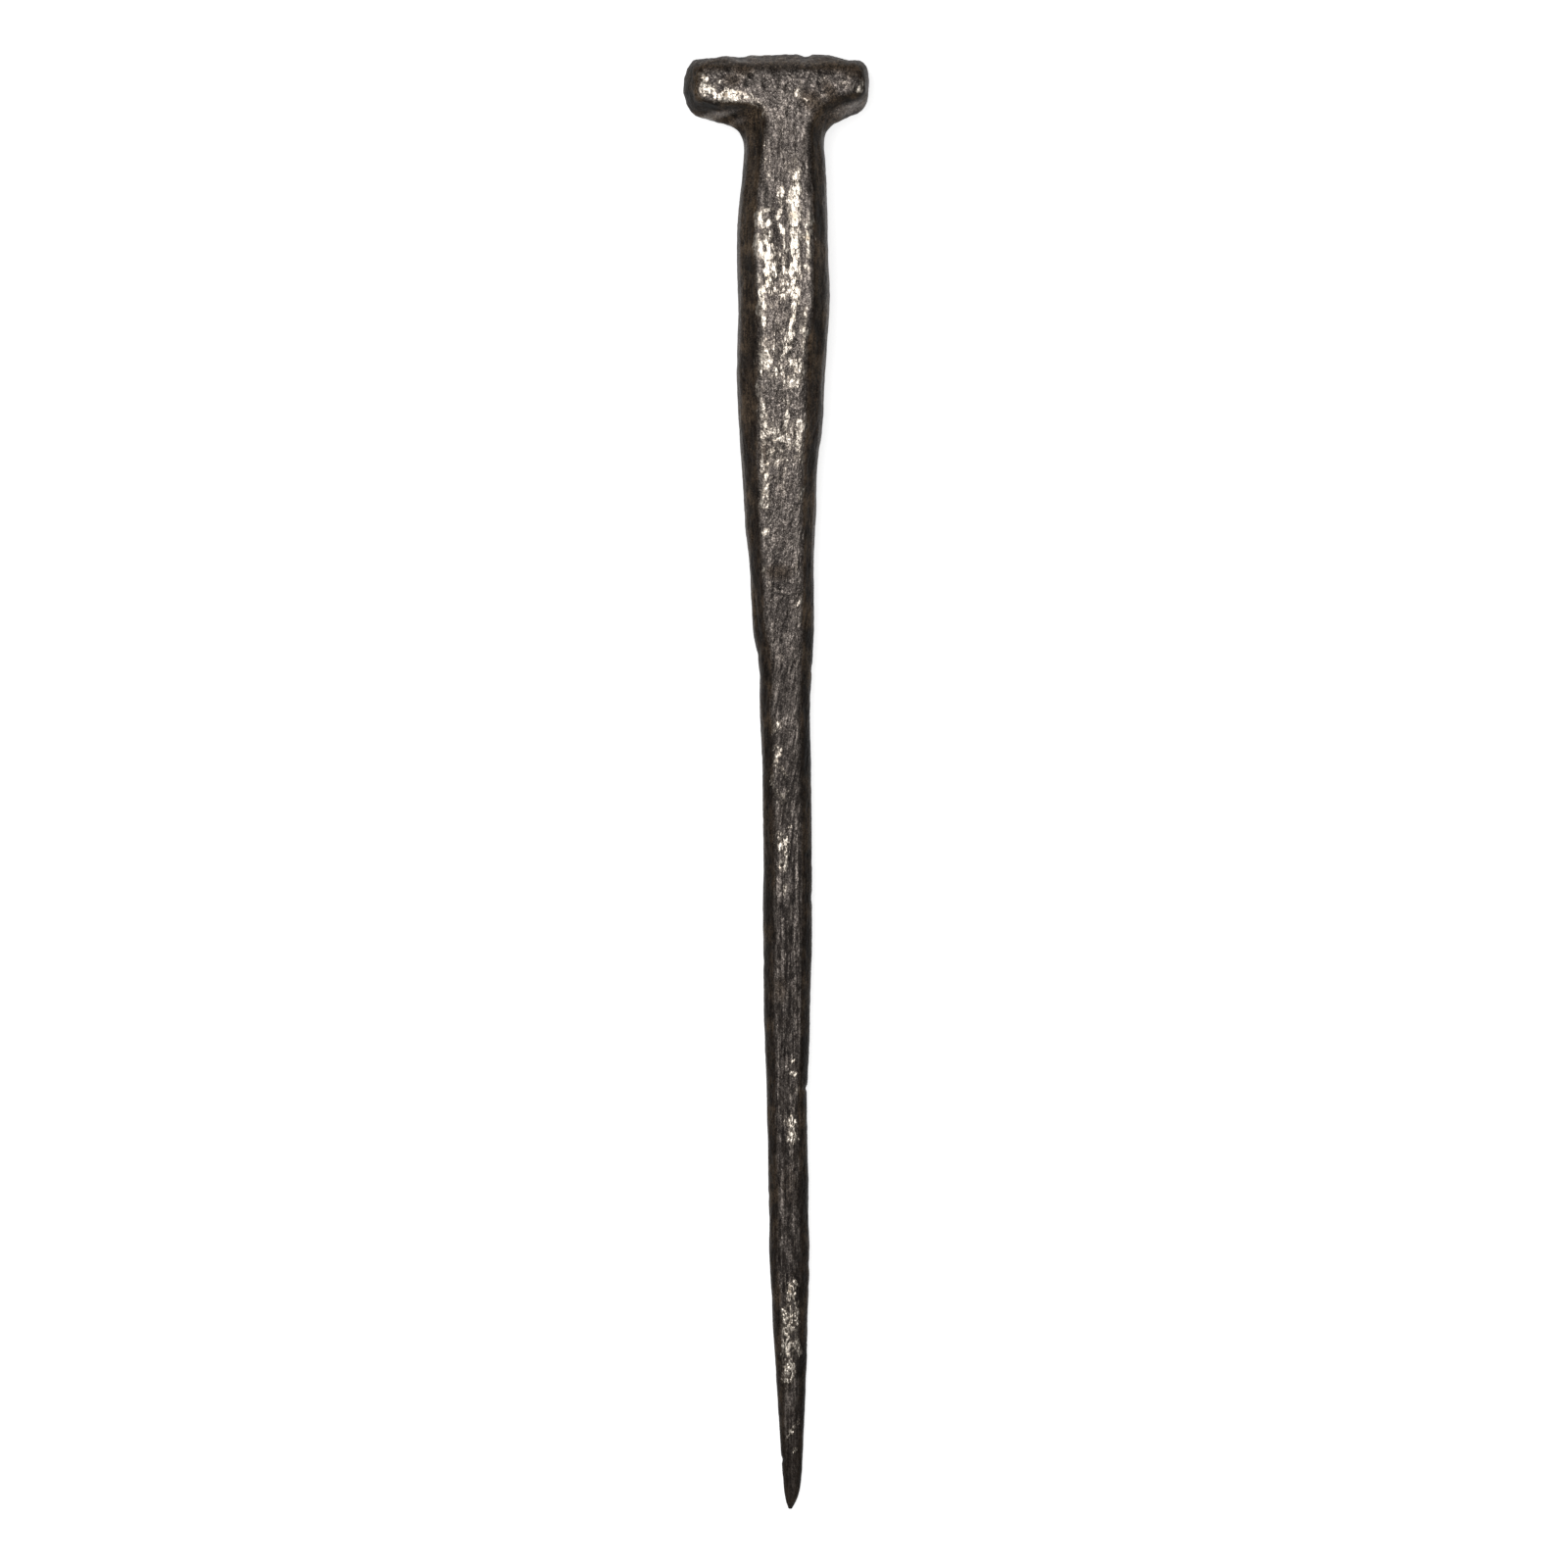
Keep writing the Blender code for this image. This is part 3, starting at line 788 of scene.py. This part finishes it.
def polished(n, on):
    """Flat faces are rubbed grey, most of all near the head. The chamfers keep their dark scale."""
    wisps = n.plus(n.times(on.brush, 0.5), n.times(on.streaks, 0.5))
    handled = n.blend(n.ramp(on.along, -45.0, 75.0), n.ramp(wisps, 0.40, 0.62, 0.16, 0.85), 1.0)
    handled = n.times(handled, n.ramp(on.along, -124.0, -96.0, 0.2, 1.0))
    polish = n.times(n.times(on.flatness, handled), n.ramp(on.blotch, 0.25, 0.6, 0.7, 1.0))
    polish = n.without(polish, on.rusted, 0.6)
    polish = n.times(polish, n.ramp(n.times(on.crest, on.in_neck), 0.05, 0.35, 1.0, 0.45))
    # The dull bands are grey too. The near-black places, painted shade among them, lose the grey.
    return n.without(n.math("MAXIMUM", polish, on.dulled_and_lit), on.black, 0.92)


def scale_and_grey(n, on, proud, polish):
    """Colour of the dark scale and of the rubbed grey metal, with painted glints on single grains."""
    dark = n.mix(n.ramp(proud, -0.12, 0.14), SCALE_DEEP, SCALE_PROUD)
    # Near-black where black scale is kept and where shade is painted.
    dark = n.mix(n.times(on.black, 0.85), dark, BLACK_SCALE_AND_SHADE)
    dark = n.mix(n.times(on.lower, 0.42), dark, SCALE_DEEP)
    grey = n.mix(n.ramp(proud, -0.13, 0.03), GREY_DEEP, GREY_PROUD)
    # Crests of the grey are lighter: partly burnish, partly a painted highlight on raised grain.
    grey = n.mix(n.ramp(proud, 0.0, 0.13), grey, GREY_CREST)
    grey = n.mix(n.times(on.lower, n.ramp(on.along, -30.0, -75.0, 0.17, 0.0)), grey, GREY_LOWER)
    # The dull bands' lighter grey is painted reflection and painted light.
    grey = n.mix(n.times(on.dulled_and_lit, 0.6), grey, GREY_DULLED_AND_LIT)
    skin = n.mix(polish, dark, grey)
    # Painted glints: single grains, mostly on the rubbed faces, get a light colour that stands for
    # highlights. There are fewer down the shank.
    painted_glint = n.plus(n.times(on.fine, 0.5), n.times(on.speckle, 0.5))
    painted_glint = n.times(n.ramp(painted_glint, 0.55, 0.62), n.math("MAXIMUM", polish, 0.05))
    return n.mix(n.times(painted_glint, n.ramp(on.along, 60.0, 10.0, 0.75, 0.4)), skin, PAINTED_GLINT)


def rust_spread(n, on):
    """Where rust lies: in blotches on the chamfers and in the listed patches."""
    spread = n.times(n.ramp(on.blotch, 0.40, 0.74), n.ramp(on.flatness, 0.2, 1.0, 0.8, 0.1))
    spread = n.times(spread, n.ramp(on.along, -124.0, -90.0, 0.2, 1.0))
    return n.math("MAXIMUM", spread, n.times(on.rusted, n.ramp(on.speckle, 0.3, 0.7, 0.35, 1.0)))


def bare_metal(n, on, over):
    """Colour of the bright patches: darker at their rims, and stained here and there."""
    bare = n.mix(n.ramp(on.stain, 0.54, 0.72), BARE, BARE_STAINED)
    return n.mix(n.ramp(over, -0.02, 0.09), BARE_RIM, bare)


def worn_iron():
    material = bpy.data.materials.new("worn_iron")
    n = Nodes(material)
    on = surface_patterns(n)
    relief = fine_relief(n, on)
    proud = proudness(n, on, relief)
    over = over_threshold(n, on, proud)
    bright = n.times(n.ramp(over, -0.015, 0.02), n.ramp(on.worn_and_sheen, 0.02, 0.12))
    polish = polished(n, on)
    spread = rust_spread(n, on)

    halo = n.times(n.ramp(over, -0.11, -0.01), n.ramp(on.worn_and_sheen, 0.05, 0.5, 0.0, 0.4))
    rust = n.mix(n.ramp(proud, -0.11, 0.12), RUST_DEEP, RUST_PROUD)
    colour = n.mix(halo, scale_and_grey(n, on, proud, polish), HALO)
    colour = n.mix(n.times(spread, n.blend(on.lower, 0.8, 0.5)), colour, rust)
    unrusted = n.times(bright, n.ramp(on.rusted, 0.6, 1.0, 1.0, 0.1))
    colour = n.mix(unrusted, colour, bare_metal(n, on, over))

    metallic = n.math("MAXIMUM", n.times(polish, n.ramp(spread, 0.0, 1.0, 0.9, 0.2)), bright)
    roughness = n.blend(polish, 0.5, n.ramp(proud, -0.12, 0.12, 0.44, 0.30))
    bumps = {"Strength": 1.0, "Distance": BUMP_DEPTH, "Height": bump_height(n, on, relief)}
    shader = n.add("ShaderNodeBsdfPrincipled", {
        "Base Color": colour,
        "Metallic": metallic,
        "Roughness": n.blend(bright, roughness, BARE_ROUGHNESS),
        "Normal": n.add("ShaderNodeBump", bumps).outputs[0],
        "Specular IOR Level": SPECULAR,
    })
    n.add("ShaderNodeOutputMaterial", {"Surface": shader.outputs[0]})
    return material


# ---------------------------------------------------------------------------------------------- studio

def make_floor(box):
    mesh = bpy.data.meshes.new("floor")
    half = FLOOR_HALF
    drop = box[0].z - FLOOR_GAP
    corners = [(-half, -half, drop), (half, -half, drop), (half, half, drop), (-half, half, drop)]
    mesh.from_pydata(corners, [], [(0, 1, 2, 3)])
    material = bpy.data.materials.new("white_paper")
    n = Nodes(material)
    shader = n.add("ShaderNodeBsdfPrincipled", {
        "Base Color": (FLOOR_WHITE, FLOOR_WHITE, FLOOR_WHITE, 1),
        "Roughness": 0.9,
        "Emission Color": (1, 1, 1, 1),
        "Emission Strength": n.blend(n.seen(), FLOOR_GLOW, FLOOR_GLOW_SEEN),
    })
    n.add("ShaderNodeOutputMaterial", {"Surface": shader.outputs[0]})
    mesh.materials.append(material)
    floor = bpy.data.objects.new("floor", mesh)
    bpy.context.scene.collection.objects.link(floor)


def make_light(name, place, aim, size, power):
    data = bpy.data.lights.new(name, "AREA")
    data.shape = "RECTANGLE"
    data.size, data.size_y = size
    data.energy = power
    light = bpy.data.objects.new(name, data)
    light.location = place
    light.rotation_euler = (Vector(aim) - Vector(place)).to_track_quat("-Z", "Y").to_euler()
    light.visible_camera = False
    bpy.context.scene.collection.objects.link(light)


def make_world():
    """White to the camera. As a light it is a soft dome, brightest overhead and dark at the horizon."""
    world = bpy.data.worlds.new("studio")
    bpy.context.scene.world = world
    n = Nodes(world)
    x, _, z = n.split(n.add("ShaderNodeTexCoord").outputs["Generated"])
    dome = n.ramp(n.minus(z, n.times(x, 0.25)), 0.45, 0.97, 0.0, 0.60)
    strength = n.blend(n.seen(), dome, 1.0)
    background = n.add("ShaderNodeBackground", {"Color": (1, 1, 1, 1), "Strength": strength})
    n.add("ShaderNodeOutputWorld", {"Surface": background.outputs[0]})


def make_camera(box):
    low, high = box
    data = bpy.data.cameras.new("camera")
    data.sensor_width = SENSOR
    data.lens = LENS
    data.clip_start = 0.1
    data.clip_end = 20.0
    distance = (high.y - low.y) / FILL * LENS / SENSOR
    middle = (low + high) / 2
    camera = bpy.data.objects.new("camera", data)
    camera.location = (middle.x + AIM[0], middle.y + AIM[1], high.z * SIZED_AT + distance)
    bpy.context.scene.collection.objects.link(camera)
    bpy.context.scene.camera = camera


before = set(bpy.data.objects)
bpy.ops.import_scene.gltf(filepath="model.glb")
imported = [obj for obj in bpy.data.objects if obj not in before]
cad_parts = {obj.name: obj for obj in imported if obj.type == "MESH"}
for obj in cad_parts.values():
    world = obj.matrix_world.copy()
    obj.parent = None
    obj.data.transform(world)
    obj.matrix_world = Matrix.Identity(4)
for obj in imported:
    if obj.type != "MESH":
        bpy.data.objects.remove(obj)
cad_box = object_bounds()
make_camera(cad_box)
make_spike(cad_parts["spike"])
make_floor(cad_box)
make_world()
make_light("from_the_point", place=(0.28, -0.75, 0.34), aim=(0, 0.11, 0), size=(0.5, 0.3), power=1.2)
make_light("overhead", place=(-0.12, 0.13, 0.87), aim=(0, 0, 0), size=(0.32, 0.60), power=2.85)
bpy.context.scene.view_settings.view_transform = "Standard"
